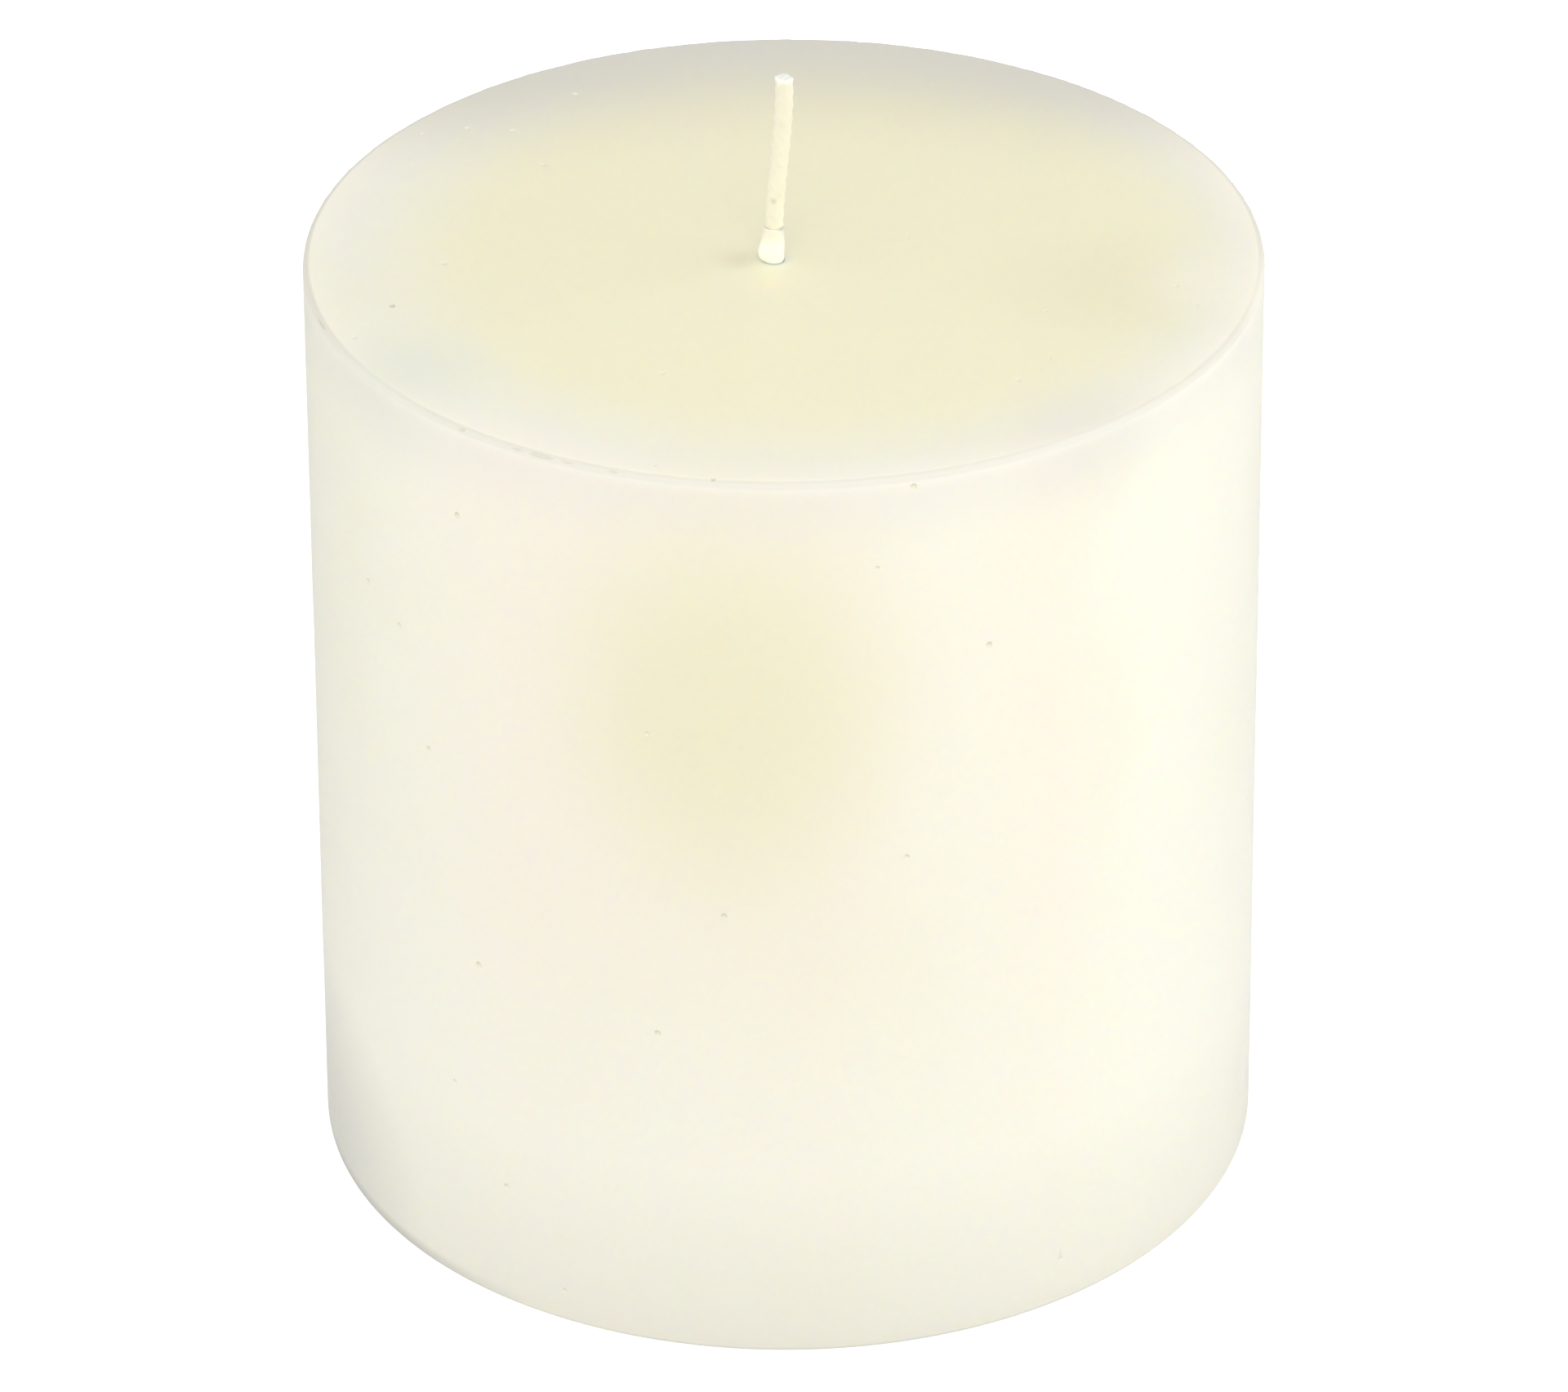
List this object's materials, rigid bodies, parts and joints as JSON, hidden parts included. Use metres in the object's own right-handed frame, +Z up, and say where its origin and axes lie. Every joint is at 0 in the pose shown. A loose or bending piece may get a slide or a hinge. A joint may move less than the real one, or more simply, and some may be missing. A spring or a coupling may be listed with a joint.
{
  "type": "scented candle",
  "caption": "Ivory pillar candle: a drafted wax cylinder with a waxed braided wick set just off centre, a wax drop at its foot and a tin tab in the base.",
  "frame": {"origin": "centre of the round base, on the surface that the candle stands on", "axes": "+Z up along the candle's axis, -Y towards the front, +X to the right as seen from the front"},
  "size_m": [0.074, 0.074, 0.0915],
  "materials": {
    "ivory_wax": "satin, translucent",
    "waxed_cotton": "waxed braid",
    "white_wax": "satin, translucent",
    "tinplate": "bright, drawn"
  },
  "bodies": {
    "root": {"wax_body": "ivory_wax", "wick": "waxed_cotton", "wax_drop": "white_wax", "wick_tab": "tinplate"}
  },
  "joints": []
}
